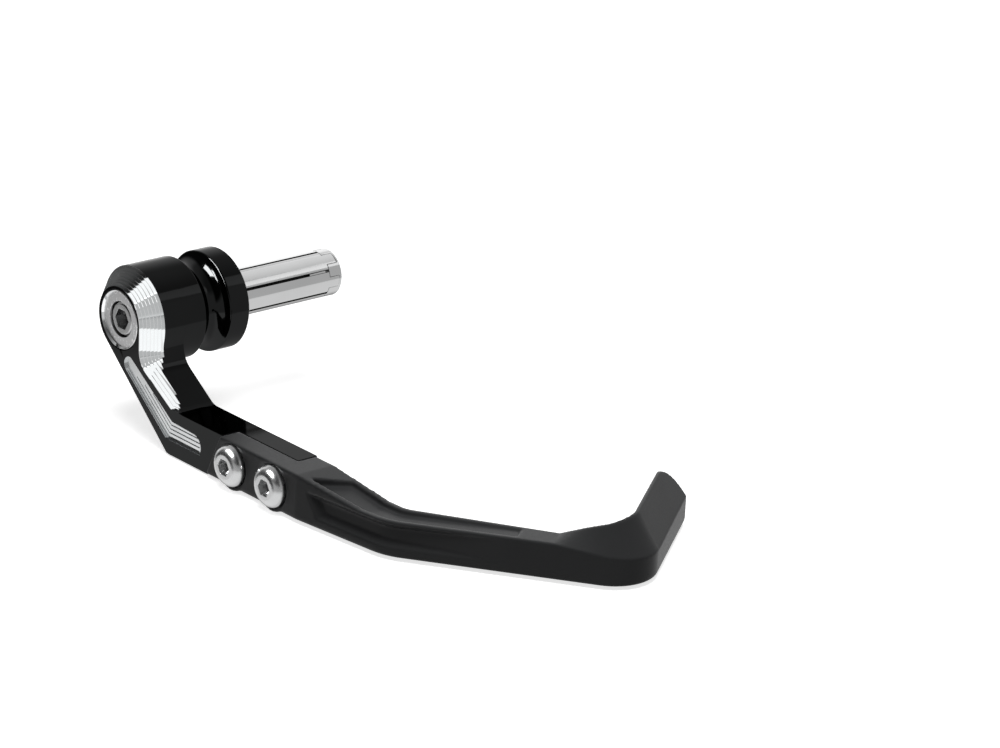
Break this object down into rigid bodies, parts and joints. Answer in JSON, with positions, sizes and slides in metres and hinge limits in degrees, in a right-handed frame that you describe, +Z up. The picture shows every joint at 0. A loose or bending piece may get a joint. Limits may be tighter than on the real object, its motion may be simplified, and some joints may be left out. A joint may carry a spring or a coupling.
{
  "type": "motorcycle lever guard",
  "caption": "Bar-end lever guard: a slit expanding plug and grooved spool carry a stepped, bright-cut arm and a moulded blade that bends round in front of the lever to a raised paddle.",
  "frame": {"origin": "on the bar axis, where the spool seats on the end of the bar", "axes": "+X outboard along the bar axis, +Y forward along the level run of the arm, +Z up"},
  "size_m": [0.0816, 0.1681, 0.0439],
  "materials": {
    "black_anodised": "glossy black anodised, cut bright on the steps and the strip",
    "bright_aluminium": "turned, fine satin",
    "steel": "bright zinc plated",
    "moulded_plastic": "fine moulded grain"
  },
  "bodies": {
    "root": {"clamp_arm": "black_anodised", "bar_end_spool": "black_anodised", "end_cap": "bright_aluminium", "through_bolt": "steel", "expansion_sleeve": "bright_aluminium", "cone_nut": "bright_aluminium", "guard_blade": "moulded_plastic", "blade_screws": "steel"}
  },
  "joints": []
}
